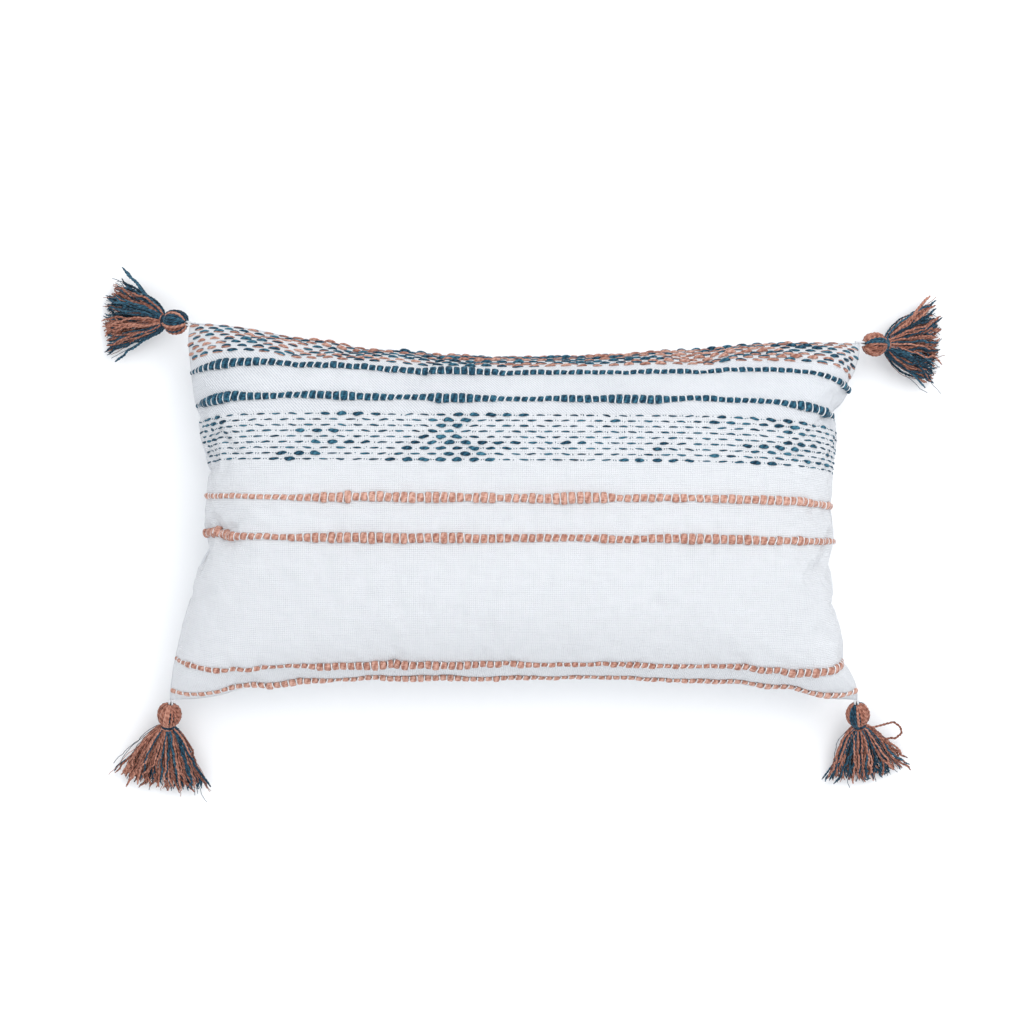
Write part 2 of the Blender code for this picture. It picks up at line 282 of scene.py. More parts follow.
def woven(name, thread, light, shade, slub=1.0, relief=0.00035, twill=None):
    """Plain weave in flat cloth coordinates: crossing threads, thick and thin places, soft colour changes,
    and painted shade in the gaps between threads.

    A twill is a band with slanted ribs, given as its near and far distances from the top seam and the
    spacing of its ribs along the cloth.
    """
    made = Nodes(name, 0.92)
    flat = made.add("UVMap", uv_map="cloth").outputs[0]
    parts = made.add("SeparateXYZ", {"Vector": flat})
    wander = made.noise(flat, 90.0, 2.0)
    shifted = made.math("MULTIPLY", made.math("SUBTRACT", wander, 0.5), 0.0012)
    turns = []
    for axis in ("X", "Y"):
        place = made.math("ADD", parts.outputs[axis], shifted)
        turns.append(made.math("SINE", made.math("MULTIPLY", place, math.pi / thread)))
    across, along = (made.math("ABSOLUTE", turn) for turn in turns)
    over = made.math("GREATER_THAN", made.math("MULTIPLY", *turns), 0.0)
    crossed = []
    for first, second in ((across, along), (along, across)):
        crossed.append(made.math("MULTIPLY", made.math("POWER", first, 0.6), made.math("POWER", second, 0.3)))
    pick = made.math("MULTIPLY", over, made.math("SUBTRACT", crossed[0], crossed[1]))
    weave = made.math("ADD", pick, crossed[1])
    if twill:
        near, far, spacing = twill
        slant = made.math("ADD", made.math("ADD", parts.outputs["X"], parts.outputs["Y"]), shifted)
        rib = made.math("SINE", made.math("MULTIPLY", slant, 2 * math.pi / spacing))
        rib = made.math("MULTIPLY_ADD", rib, 0.5, 0.5)
        below = made.math("LESS_THAN", parts.outputs["Y"], CUT[1] / 2 - near)
        inside = made.math("MULTIPLY", below, made.math("GREATER_THAN", parts.outputs["Y"], CUT[1] / 2 - far))
        # The twill's rib grooves are painted shade, and the whole band is painted darker.
        ribbed = made.math("ADD", made.math("MULTIPLY", rib, 0.8), made.math("MULTIPLY", weave, 0.2))
        darker = made.math("SUBTRACT", made.math("SUBTRACT", ribbed, weave), 0.30)
        weave = made.math("ADD", weave, made.math("MULTIPLY", darker, inside))
    weft = made.noise(made.stretched(flat, (38.0, 520.0, 1.0)), 1.0, 3.0, 0.6)
    warp = made.noise(made.stretched(flat, (560.0, 45.0, 1.0)), 1.0, 3.0, 0.6)
    slubs = made.math("MULTIPLY", made.math("ADD", weft, warp), 0.8 * slub)
    height = made.math("ADD", weave, slubs)
    made.bump(height, relief)
    patches = made.noise(flat, 14.0, 3.0)
    # Colour tone: the weave part is painted shade, darker where the threads dip; slubs and patches are the
    # cloth's own random colour changes.
    tone = made.math("ADD", made.math("MULTIPLY", weave, 0.45), made.math("MULTIPLY", slubs, 0.35))
    tone = made.math("ADD", tone, made.math("MULTIPLY", patches, 0.2))
    made.colour(made.ramp(tone, ((0.15, shade), (0.62, light))))
    made.sheen(0.25)
    return made.material


def yarn(name, palette):
    """Soft spun yarn, with painted shade in its twist's grooves and in the low places of its fibres.

    "run" is the distance along it, "turn" the way round it, and "tint" differs by strand.
    """
    made = Nodes(name, 0.95)
    run = made.attribute("run").outputs["Fac"]
    turn = made.attribute("turn").outputs["Fac"]
    tint = made.attribute("tint").outputs["Fac"]
    place = made.add("TexCoord").outputs["Object"]
    lay = made.add("CombineXYZ", {"X": made.math("MULTIPLY", run, 140.0), "Y": turn, "Z": tint}).outputs[0]
    fibres = made.noise(made.stretched(lay, (1.0, 9.0, 40.0)), 1.6, 4.0, 0.7)
    slope = made.math("ADD", made.math("MULTIPLY", run, YARN_TWIST), made.math("MULTIPLY", turn, 2 * math.pi))
    swirl = made.math("SINE", slope)
    patches = made.noise(place, 320.0, 3.0, 0.6)
    # Colour tone: the fibres' low places are painted darker, partly painted shade between fibres and partly
    # the yarn's own streaks; patches and tint are its own colour changes.
    tone = made.math("ADD", made.math("MULTIPLY", fibres, 0.50), made.math("MULTIPLY", patches, 0.38))
    tone = made.math("ADD", tone, made.math("MULTIPLY", tint, 0.12))
    # The twist's grooves are painted darker: painted shade.
    tone = made.math("ADD", tone, made.math("MULTIPLY", swirl, 0.045))
    made.colour(made.ramp(tone, palette))
    made.shader.inputs["Specular IOR Level"].default_value = 0.2
    height = made.math("ADD", fibres, made.math("MULTIPLY", swirl, 0.25))
    made.bump(height, 0.0004)
    made.sheen(YARN_FUZZ)
    return made.material


# Yarn palettes by tone: the darkest stops are partly painted shade, in the twist's grooves and between
# fibres; the rest is the yarn's own colour.
NAVY = ((0.40, (0.003, 0.020, 0.040)), (0.50, (0.016, 0.078, 0.130)), (0.61, (0.055, 0.195, 0.270)))
TERRACOTTA = ((0.39, (0.26, 0.100, 0.070)), (0.50, (0.44, 0.215, 0.158)), (0.61, (0.66, 0.400, 0.320)))
TASSEL_TERRACOTTA = ((0.39, (0.11, 0.036, 0.022)), (0.50, (0.34, 0.128, 0.085)), (0.62, (0.58, 0.290, 0.210)))
TASSEL_NAVY = ((0.40, (0.0015, 0.008, 0.018)), (0.50, (0.008, 0.042, 0.076)), (0.62, (0.045, 0.140, 0.205)))
BINDING = ((0.30, (0.72, 0.73, 0.75)), (0.60, (0.84, 0.845, 0.855)))

# Cloth: thread spacing, then the light colour and the painted shade between threads
FRONT_THREAD = 0.0016
FRONT_COLOURS = ((0.745, 0.755, 0.775), (0.47, 0.49, 0.53))
BACK_THREAD = 0.0012
BACK_COLOURS = ((0.68, 0.70, 0.73), (0.53, 0.55, 0.59))
LINING_THREAD = 0.0006
LINING_COLOURS = ((0.84, 0.84, 0.83), (0.7, 0.7, 0.69))

def zip_metal():
    made = Nodes("zip_metal", 0.32, 1.0)
    place = made.add("TexCoord").outputs["Object"]
    wear = made.noise(place, 700.0, 4.0)
    made.colour(made.ramp(wear, ((0.3, (0.60, 0.60, 0.59)), (0.7, (0.74, 0.74, 0.73)))))
    made.feed(made.shader.inputs["Roughness"], made.math("ADD", made.math("MULTIPLY", wear, 0.25), 0.2))
    made.bump(made.noise(made.stretched(place, (1.0, 12.0, 12.0)), 900.0, 2.0), 0.00004)
    return made.material


def zip_tape():
    made = Nodes("zip_tape_twill", 0.85)
    place = made.add("TexCoord").outputs["Object"]
    parts = made.add("SeparateXYZ", {"Vector": place})
    slant = made.math("ADD", parts.outputs["X"], parts.outputs["Z"])
    rib = made.math("SINE", made.math("MULTIPLY", slant, 2 * math.pi / 0.0007))
    made.bump(rib, 0.00012)
    worn = made.noise(place, 260.0, 3.0)
    made.colour(made.ramp(worn, ((0.3, (0.74, 0.74, 0.73)), (0.7, (0.86, 0.86, 0.85)))))
    made.sheen(0.2)
    return made.material


def nylon():
    made = Nodes("zip_nylon", 0.35)
    place = made.add("TexCoord").outputs["Object"]
    cloud = made.noise(place, 500.0, 3.0)
    made.colour(made.ramp(cloud, ((0.3, (0.72, 0.72, 0.70)), (0.7, (0.83, 0.83, 0.82)))))
    made.shader.inputs["Coat Weight"].default_value = 0.2
    return made.material


def fibre_fill():
    made = Nodes("fibre_fill", 1.0)
    place = made.add("TexCoord").outputs["Object"]
    wisps = made.noise(made.stretched(place, (1.0, 3.0, 2.0)), 110.0, 6.0, 0.75)
    made.bump(wisps, 0.004)
    # The hollows between wisps are painted darker: painted shade.
    made.colour(made.ramp(wisps, ((0.3, (0.78, 0.78, 0.77)), (0.7, (0.93, 0.93, 0.92)))))
    made.sheen(0.6)
    return made.material


# Meshes from arrays


def new_mesh(name, verts, quads, material, values=None, uv=None):
    """An object from vertex places and quads, with named values for each vertex and a place on the cloth."""
    mesh = bpy.data.meshes.new(name)
    verts = np.asarray(verts, np.float32).reshape(-1, 3)
    quads = np.asarray(quads, np.int32).reshape(-1, 4)
    mesh.vertices.add(len(verts))
    mesh.vertices.foreach_set("co", verts.ravel())
    mesh.loops.add(quads.size)
    mesh.loops.foreach_set("vertex_index", quads.ravel())
    mesh.polygons.add(len(quads))
    mesh.polygons.foreach_set("loop_start", np.arange(len(quads), dtype=np.int32) * 4)
    mesh.update(calc_edges=True)
    for key, value in (values or {}).items():
        layer = mesh.attributes.new(key, "FLOAT", "POINT")
        layer.data.foreach_set("value", np.asarray(value, np.float32).ravel())
    if uv is not None:
        layer = mesh.uv_layers.new(name="cloth")
        layer.data.foreach_set("uv", np.asarray(uv, np.float32).reshape(-1, 2)[quads.ravel()].ravel())
    mesh.validate()
    mesh.shade_smooth()
    mesh.materials.append(material)
    obj = bpy.data.objects.new(name, mesh)
    bpy.context.scene.collection.objects.link(obj)
    return obj


def unit(vectors):
    return vectors / np.maximum(np.linalg.norm(vectors, axis=-1, keepdims=True), 1e-12)


def tube_arrays(points, radius, normals, sides, flatness=1.0, tint=None, ply=0.0):
    """Vertices, quads and values of K tubes of N points each.

    The normals say which way is up for a flattened tube. A ply above 0 is the length of one turn of
    two-ply twist.
    """
    points = np.asarray(points, float)
    count, length = points.shape[:2]
    along = unit(np.gradient(points, axis=1))
    up = unit(normals - np.sum(normals * along, -1, keepdims=True) * along)
    side = np.cross(along, up)
    angle = 2 * math.pi * np.arange(sides) / sides
    step = np.linalg.norm(np.diff(points, axis=1), axis=-1)
    run = np.concatenate([np.zeros((count, 1)), np.cumsum(step, 1)], 1)
    radius = np.broadcast_to(radius, (count, length))[..., None, None]
    flatness = np.broadcast_to(flatness, (count, length))[..., None, None]
    ring = np.cos(angle)[:, None] * side[:, :, None] + flatness * np.sin(angle)[:, None] * up[:, :, None]
    if ply:
        turned = 2 * (angle - 2 * math.pi * run[..., None] / ply)
        ring = ring * (1 + PLY_GROOVE * np.cos(turned))[..., None]
    verts = points[:, :, None] + radius * ring
    index = np.arange(count * length * sides).reshape(count, length, sides)
    here, after = index[:, :-1], index[:, 1:]
    quads = np.stack([here, np.roll(here, -1, 2), np.roll(after, -1, 2), after], -1)
    tint = random.random(count) if tint is None else np.broadcast_to(tint, count)
    values = {
        "run": np.broadcast_to((run + 0.37 * tint[:, None])[..., None], index.shape),
        "turn": np.broadcast_to(np.abs(np.arange(sides) * 2 / sides - 1), index.shape),
        "tint": np.broadcast_to(tint[:, None, None], index.shape),
    }
    flat_values = {key: value.reshape(-1) for key, value in values.items()}
    return verts.reshape(-1, 3), quads.reshape(-1, 4), flat_values


def join_arrays(pieces):
    """One set of vertices, quads and values from several."""
    verts, quads, values = [], [], {"run": [], "turn": [], "tint": []}
    start = 0
    for piece_verts, piece_quads, piece_values in pieces:
        verts.append(piece_verts)
        quads.append(piece_quads + start)
        start += len(piece_verts)
        for key, value in piece_values.items():
            values[key].append(value)
    return np.concatenate(verts), np.concatenate(quads), {key: np.concatenate(v) for key, v in values.items()}


def smooth_noise(places, seed, span):
    """A smooth random curve from -1 to 1 that changes over about this span."""
    numbers = np.random.default_rng(seed).uniform(-1, 1, 4096)
    place = np.asarray(places) / span + 1000.0
    low = np.floor(place).astype(int)
    share = place - low
    share = share * share * (3 - 2 * share)
    return numbers[low % 4096] * (1 - share) + numbers[(low + 1) % 4096] * share


# The cushion


def cell_quads(index):
    """The quads of a grid of vertex numbers."""
    return np.stack([index[:-1, :-1], index[1:, :-1], index[1:, 1:], index[:-1, 1:]], -1).reshape(-1, 4)


def sewn_sheets():
    """Two flat sheets that share their edge, as vertex places, quads, and the vertex of each grid point."""
    columns, rows = CELLS
    x = np.linspace(-CUT[0] / 2, CUT[0] / 2, columns + 1)
    y = np.linspace(-CUT[1] / 2, CUT[1] / 2, rows + 1)
    gx, gy = np.meshgrid(x, y, indexing="ij")
    bulge = np.sqrt(np.clip((1 - (2 * gx / CUT[0]) ** 2) * (1 - (2 * gy / CUT[1]) ** 2), 0, 1))
    inside = bulge > 1e-6
    noise = 0.0004 * np.random.default_rng(3).standard_normal((2, *gx.shape)) * inside
    front = np.arange(gx.size).reshape(gx.shape)
    back = front.copy()
    back[inside] = gx.size + np.arange(inside.sum())
    places = [np.stack([gx, gy, 0.006 * bulge + noise[0]], -1).reshape(-1, 3)]
    places.append(np.stack([gx, gy, -0.006 * bulge + noise[1]], -1)[inside])
    quads = [cell_quads(front), cell_quads(back)[:, ::-1]]
    return np.concatenate(places), np.concatenate(quads), front, back


def inflate():
    """Stuffs the sewn cover by cloth simulation. Returns the front's and the back's grids of points."""
    places, quads, front, back = sewn_sheets()
    cover = new_mesh("cover_simulation", places, quads, plain_material("simulation", (0.8, 0.8, 0.8), 0.9))
    cloth = cover.modifiers.new("Cloth", "CLOTH")
    settings = cloth.settings
    settings.quality = 5
    settings.mass = 0.3
    settings.air_damping = 4
    settings.tension_stiffness = settings.compression_stiffness = 15
    settings.shear_stiffness = 5
    settings.bending_stiffness = 0.3
    settings.use_pressure = True
    settings.uniform_pressure_force = 6
    settings.use_pressure_volume = True
    settings.target_volume = 0.017
    settings.effector_weights.gravity = 0
    cloth.collision_settings.use_collision = False
    scene = bpy.context.scene
    for number in range(1, INFLATE_FRAMES + 1):
        scene.frame_set(number)
    result = cover.evaluated_get(bpy.context.evaluated_depsgraph_get()).to_mesh()
    settled = np.empty(len(result.vertices) * 3)
    result.vertices.foreach_get("co", settled)
    settled = settled.reshape(-1, 3)
    scene.frame_set(1)
    bpy.data.objects.remove(cover)
    return settled[front], settled[back]


def corner_places():
    """The four seam corners: each tassel's sideways hinge stands in one."""
    joints = {joint["name"]: joint for joint in frame["joints"]}
    return {corner: np.array(joints[f"tassel_{corner}_sway"]["pos_m"]) for corner in CORNERS}


def pull(side, share):
    """How far a side of the seam is pulled in at this share of its length, from -1 to 1."""
    most, flatness, shift = SIDES[side]
    share = share + shift * (1 - share * share)
    return most * np.cos(math.pi / 2 * np.abs(share) ** flatness) ** 2


def outline(u, v):
    """The seam's place seen from above, at this share of the cloth, each from -1 to 1."""
    at = corner_places()
    east, north = ((u + 1) / 2)[..., None], ((v + 1) / 2)[..., None]
    south_side = at["bottom_left"][:2] * (1 - east) + at["bottom_right"][:2] * east
    north_side = at["top_left"][:2] * (1 - east) + at["top_right"][:2] * east
    place = south_side * (1 - north) + north_side * north
    east, north = east[..., 0], north[..., 0]
    place[..., 0] += (1 - east) * pull("left", v) - east * pull("right", v)
    place[..., 1] += (1 - north) * pull("bottom", u) - north * pull("top", u)
    return place


def smoothed(line, times):
    """A side of the seam, or every row of a sheet beside it, without its puckers; the ends stay."""
    line = line.copy()
    for _ in range(times):
        line[1:-1] = (line[:-2] + 2 * line[1:-1] + line[2:]) / 4
    return line


def fitted(front, back):
    """The stuffed cover with its outline, height and underside as the CAD cover has them."""
    columns, rows = CELLS
    u, v = np.meshgrid(np.linspace(-1, 1, columns + 1), np.linspace(-1, 1, rows + 1), indexing="ij")
    target = outline(u, v)
    shift = np.zeros_like(target)
    for side in (np.s_[:, 0], np.s_[:, -1], np.s_[0, :], np.s_[-1, :]):
        shift[side] = target[side] - smoothed(front[side][:, :2], OUTLINE_SMOOTHING)
    east, north = ((u + 1) / 2)[..., None], ((v + 1) / 2)[..., None]
    nearness = [side**SIDE_HOLD for side in (1 - east, east, 1 - north, north)]
    west_side, east_side, south_side, north_side = nearness
    move = west_side * shift[:1] + east_side * shift[-1:]
    move = move + south_side * shift[:, :1] + north_side * shift[:, -1:]
    for across, column in ((west_side, 0), (east_side, -1)):
        for up, row in ((south_side, 0), (north_side, -1)):
            move -= across * up * shift[column, row]
    corner_height = np.mean([place[2] for place in corner_places().values()])
    seam = SEAM_HEIGHT - (SEAM_HEIGHT - corner_height) * np.abs(u * v) ** 6
    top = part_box("cover_front_panel")[1].z
    result = []
    for sheet, reach in ((front, top - SEAM_HEIGHT), (back, BACK_DEPTH)):
        new = sheet.copy()
        new[..., :2] += move
        new[..., 2] *= reach / np.abs(sheet[..., 2]).max()
        new[..., 2] += seam
        calm = (((1 + np.abs(v)) / 2) ** EDGE_CALM * np.where(v > 0, 1, BOTTOM_CALM))[..., None]
        result.append(new * (1 - calm) + smoothed(new, CALM_TIMES) * calm)
    soft = 0.0025
    result[1][..., 2] = soft * np.log1p(np.exp(result[1][..., 2] / soft))
    return result


def refined(grid):
    """The grid with REFINE times as many cells, on smooth curves through its points."""
    for axis in (0, 1):
        grid = np.moveaxis(grid, axis, 0)
        before = np.concatenate([2 * grid[:1] - grid[1:2], grid, 2 * grid[-1:] - grid[-2:-1]])
        a, b, c, d = before[:-3], before[1:-2], before[2:-1], before[3:]
        parts = []
        for k in range(REFINE):
            t = k / REFINE
            squared = (2 * a - 5 * b + 4 * c - d) * t**2
            cubed = (3 * b - a - 3 * c + d) * t**3
            parts.append(0.5 * (2 * b + (c - a) * t + squared + cubed))
        fine = np.stack(parts, 1).reshape(-1, *grid.shape[1:])
        grid = np.moveaxis(np.concatenate([fine, grid[-1:]]), 0, axis)
    return grid


class Sheet:
    """A stuffed panel, as a function of flat cloth coordinates."""

    def __init__(self, grid, sign):
        self.grid = refined(grid)
        self.sign = sign
        across = np.gradient(self.grid, axis=0)
        up = np.gradient(self.grid, axis=1)
        self.normals = sign * unit(np.cross(across, up))

    def flat(self):
        columns, rows = self.grid.shape[:2]
        x = np.linspace(-CUT[0] / 2, CUT[0] / 2, columns)
        y = np.linspace(-CUT[1] / 2, CUT[1] / 2, rows)
        return np.stack(np.meshgrid(x, y, indexing="ij"), -1)

    def look_up(self, values, x, y):
        columns, rows = self.grid.shape[:2]
        i = np.clip((np.asarray(x) / CUT[0] + 0.5) * (columns - 1), 0, columns - 1.001)
        j = np.clip((np.asarray(y) / CUT[1] + 0.5) * (rows - 1), 0, rows - 1.001)
        i0, j0 = i.astype(int), j.astype(int)
        di, dj = (i - i0)[..., None], (j - j0)[..., None]
        west = values[i0, j0] * (1 - dj) + values[i0, j0 + 1] * dj
        east = values[i0 + 1, j0] * (1 - dj) + values[i0 + 1, j0 + 1] * dj
        return west * (1 - di) + east * di

    def at(self, x, y, lift=0.0):
        """Places and outward directions, lifted off the cloth by this much."""
        outward = unit(self.look_up(self.normals, x, y))
        lift = np.asarray(lift)[..., None] if np.ndim(lift) else lift
        return self.look_up(self.grid, x, y) + lift * outward, outward


def grid_quads(columns, rows, flip=False):
    quads = cell_quads(np.arange(columns * rows).reshape(columns, rows))
    return quads[:, ::-1] if flip else quads


def cover_panel(name, sheet, material):
    """One cloth panel, opened a little at the seam over the zip."""
    grid = sheet.grid.copy()
    flat = sheet.flat()
    edge = np.zeros(grid.shape[:2])
    edge[:, 0] = 1
    edge[:, 1] = 0.5
    on_zip = np.clip((ZIP_REACH - np.abs(grid[..., 0])) / ZIP_END, 0, 1) * edge
    grid[..., 2] += sheet.sign * on_zip * ZIP_OPEN
    columns, rows = grid.shape[:2]
    panel = new_mesh(name, grid, grid_quads(columns, rows, sheet.sign < 0), material, uv=flat)
    thick = panel.modifiers.new("Thickness", "SOLIDIFY")
    thick.thickness = CLOTH_THICK
    thick.offset = -1
    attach(panel, "pillow")
    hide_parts(name)


# Woven yarn


def stripe(name, sheet, from_top, material, binding, seed):
    """A thick yarn tied down by a white thread after each bead. It swells and thins along its length."""
    y = CUT[1] / 2 - from_top
    count = int(CUT[0] / BEAD)
    number = np.arange(count)[:, None]
    share = np.array(BEAD_PROFILE)
    run = ((number + 0.5) * BEAD + share * (BEAD - BEAD_GAP) / 2).ravel()
    x = run - count * BEAD / 2
    swell, swell_span = STRIPE_SWELL
    slub = np.clip(1.02 + swell * smooth_noise(run, seed, swell_span), *STRIPE_WIDTHS)
    slub = slub + 0.09 * smooth_noise(run, seed + 1, 0.008)
    jitter = 1 + 0.09 * np.random.default_rng(seed).standard_normal(count)
    end = np.clip((CUT[0] / 2 - np.abs(x)) / 0.02, 0.75, 1)
    width = STRIPE_HALF_WIDTH * slub * np.repeat(jitter, len(share)) * end
    shape = np.tile(np.maximum(1 - np.abs(share) ** 7, 0) ** 0.45 * 0.70 + 0.30, count)
    wander = 0.0007 * smooth_noise(run, seed + 2, 0.03) + 0.0003 * smooth_noise(run, seed + 4, 0.007)
    points, outward = sheet.at(x, y + wander, STRIPE_LIFT * width)
    body = tube_arrays(points[None], (width * shape)[None], outward[None], 14, STRIPE_FLATNESS)
    piece = new_mesh(name, body[0], body[1], material, body[2])
    place = np.arange(1, count) * BEAD
    lean = 0.0011 * smooth_noise(place, seed + 3, 0.015) + 0.0004
    angle = np.linspace(-1.7, 1.7, 9)
    waist = 0.72 * np.interp(place, run, width)[:, None]
    thread_x = place[:, None] - count * BEAD / 2 + lean[:, None] * np.sin(angle)
    thread_y = y + np.interp(place, run, wander)[:, None] + (waist + 0.0006) * np.sin(angle)
    rise = waist * STRIPE_FLATNESS * np.cos(angle) + STRIPE_LIFT * waist
    arcs, arc_out = sheet.at(thread_x, thread_y, np.maximum(rise, -0.0005))
    body = tube_arrays(arcs, BINDING_RADIUS, arc_out, 6)
    threads = new_mesh(name + "_binding", body[0], body[1], binding, body[2])
    for obj, slot in ((piece, name.split("_")[0] + "_yarn"), (threads, "front_cloth")):
        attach(obj, "pillow")
    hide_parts(name)


def dashes(name, sheet, places, half_lengths, half_widths, material):
    """Floats of thin yarn, each a wavy lens that dips into the cloth at its ends.

    Places are flat centres, with how much each end rises across the row.
    """
    t = np.linspace(-1, 1, 13)
    wave, skew = random.uniform(-1, 1, (2, len(places), 1))
    x = places[:, 0:1] + half_lengths[:, None] * t
    y = places[:, 1:2] + places[:, 2:3] * t + 0.30 * half_widths[:, None] * wave * np.sin(3.6 * t + skew)
    shape = np.clip(1 - t**2, 0.0, 1) ** 0.6 * (1 + 0.30 * skew * t)
    radius = half_widths[:, None] * np.maximum(shape, 0.04)
    lift = half_widths[:, None] * (0.55 * shape) - DASH_SINK * (t**4)
    points, outward = sheet.at(x, y, lift)
    body = tube_arrays(points, radius, outward, 8, DASH_FLATNESS)
    piece = new_mesh(name, body[0], body[1], material, body[2])
    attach(piece, "pillow")


def dash_rows(first, last, rows, seed):
    """Flat places of the dashes in rows set like bricks: x, y and row number of each."""
    found = []
    for row in range(rows):
        y = CUT[1] / 2 - (first + (last - first) * row / (rows - 1))
        start = -CUT[0] / 2 + DASH_PITCH * (0.3 + 0.5 * (row % 2))
        x = np.arange(start, CUT[0] / 2 - 0.003, DASH_PITCH)
        x = x + 0.0006 * smooth_noise(x, seed + row, 0.01)
        found.append(np.stack([x, np.full_like(x, y), np.full_like(x, row)], -1))
    return np.concatenate(found)


def slub_shares(places, seed, lean):
    """How thick each dash is, from 0 to 1: thin yarn, with slubs in slanted clusters of neighbours."""
    shared = smooth_noise(places[:, 0] + lean * places[:, 2], seed, 0.026)
    own = np.array([smooth_noise(x, seed + 17 * int(row), 0.028) for x, _, row in places])
    ends = np.clip((CUT[0] / 2 - np.abs(places[:, 0])) / 0.06, 0, 1)
    return np.clip((0.7 * shared + 0.7 * own - 0.12) / 0.5, 0, 1) * ends


def navy_band(sheet, material):
    """Rows of navy dashes, with two small dots in most of the gaps between them."""
    places = dash_rows(*NAVY_BAND, seed=50)
    slub = slub_shares(places, 60, DASH_PITCH / 2)
    widths = NAVY_DASH_WIDTH[0] + NAVY_DASH_WIDTH[1] * slub
    widths = widths * (1 + 0.10 * random.standard_normal(len(places)))
    lengths = NAVY_DASH_LENGTH[0] + NAVY_DASH_LENGTH[1] * slub
    lengths = lengths * (1 + 0.05 * random.standard_normal(len(places)))
    places[:, 2] = 0.0003 * random.standard_normal(len(places))
    dashes("navy_dashes", sheet, places, lengths, widths, material)
    dots = np.concatenate([places, places])
    dots[:, 0] += DASH_PITCH / 2 + np.repeat((-DOT_OFFSET, DOT_OFFSET), len(places))
    dots[:, 1:] += 0.0003 * random.standard_normal((len(dots), 2))
    dots = dots[random.random(len(dots)) < DOT_SHARE]
    size = np.full(len(dots), DOT)
    dashes("navy_dots", sheet, dots, size, size, material)


def top_band(sheet, navy, terracotta):
    """Rows of two yarns side by side, navy and terracotta, whose shares change along each row."""
    places = dash_rows(*TOP_BAND, seed=80)
    slub = slub_shares(places, 90, -DASH_PITCH / 2)
    widths = (TOP_DASH_WIDTH[0] + TOP_DASH_WIDTH[1] * slub) * (1 + 0.08 * random.standard_normal(len(places)))
    share = np.array([smooth_noise(x, 120 + 13 * int(row), 0.035) for x, _, row in places])
    order = np.sign(np.array([smooth_noise(x, 300 + 7 * int(row), 0.09) for x, _, row in places]))
    lengths = TOP_DASH_LENGTH * (1 + 0.06 * random.standard_normal(len(places)))
    for name, part, side, material, slot in (
        ("top_dashes_navy", 0.5 + 0.6 * share, order, navy, "navy_yarn"),
        ("top_dashes_terracotta", 0.5 - 0.6 * share, -order, terracotta, "terracotta_yarn"),
    ):
        part = np.clip(part, 0, 1)
        shown = part > 0.12
        moved = places.copy()
        moved[:, 1] += side * widths * (1 - part) * 0.75
        moved[:, 2] = 0.00015 * random.standard_normal(len(places))
        half = widths * (0.35 + 0.65 * part)
        dashes(name, sheet, moved[shown], lengths[shown], half[shown], material)


# Tassels


def tassel_axes(corner):
    """The tassel's corner, outward, sideways and upward directions, from its two hinges."""
    joints = {joint["name"]: joint for joint in frame["joints"]}
    place = np.array(joints[f"tassel_{corner}_sway"]["pos_m"])
    outward = unit(np.array(joints[f"tassel_{corner}_lift"]["pos_m"]) - place)
    sideways = unit(np.cross([0, 0, 1], outward))
    return place, outward, sideways, np.cross(outward, sideways)


def middle_of(node):
    low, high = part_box(node)
    return np.array((low + high) / 2)


def tassel_piece(corner, name, body, material, rider=None):
    piece = new_mesh(f"tassel_{corner}_{name}", body[0], body[1], material, body[2])
    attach(piece, rider or f"tassel_{corner}_body")
    return piece


def tassel_head(corner, axes, materials):
    """A ball of yarn: strands from its top down to the neck, over a core."""
    _, outward, sideways, upward = axes
    low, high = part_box(f"tassel_{corner}_head")
    centre = np.array((low + high) / 2)
    radius = (high.z - low.z) / 2 - 0.0006
    theta = np.linspace(0.16, 2.70, 30)
    count = HEAD_STRAND_COUNT
    seed = 500 + 10 * CORNERS.index(corner)
    lines = {"navy": [], "terracotta": []}
    for k in range(count):
        around = 2 * math.pi * (k + 0.25 * random.random()) / count
        around = around + 0.18 * np.sin(theta) * smooth_noise(k, seed + 3, 2.0)
        spoke = np.cos(around)[:, None] * sideways + np.sin(around)[:, None] * upward
        swell = radius * (1 + 0.035 * random.standard_normal())
        belly = np.sin(theta)[:, None] ** 0.85
        lines["navy" if smooth_noise(k, seed, 1.9) > 0.30 else "terracotta"].append(
            centre + swell * (-1.06 * np.cos(theta)[:, None] * outward + belly * spoke)
        )
    for kind, found in lines.items():
        found = np.array(found)
        body = tube_arrays(found, HEAD_STRAND, found - centre, 8, ply=STRAND_PLY)
        head = tassel_piece(corner, f"head_{kind}", body, materials[kind])
        if kind == "navy":
            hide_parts(f"tassel_{corner}_head")
    angles = np.linspace(0.02, math.pi - 0.02, 12)
    core_line = centre - (radius - 0.0005) * np.cos(angles)[:, None] * outward
    core = tube_arrays(core_line[None], ((radius - 0.0005) * np.sin(angles))[None], upward[None, None], 16)
    tassel_piece(corner, "head_core", core, materials["navy"])


def tassel_wrap(corner, axes, materials):
    """A few turns of yarn round the neck, mostly navy."""
    _, outward, sideways, upward = axes
    centre = middle_of(f"tassel_{corner}_neck_wrap")
    for kind, first, turns in WRAPS:
        angle = np.linspace(0, 2 * math.pi * turns, 26 * turns)
        along = first + WRAP_PITCH * angle / (2 * math.pi)
        line = centre + along[:, None] * outward
        line = line + WRAP_RADIUS * (np.cos(angle)[:, None] * sideways + np.sin(angle)[:, None] * upward)
        body = tube_arrays(line[None], WRAP_STRAND, (line - centre)[None], 8, ply=0.005)
        wrap = tassel_piece(corner, f"neck_wrap_{kind}", body, materials[kind])
        if kind == "navy":
            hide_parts(f"tassel_{corner}_neck_wrap")


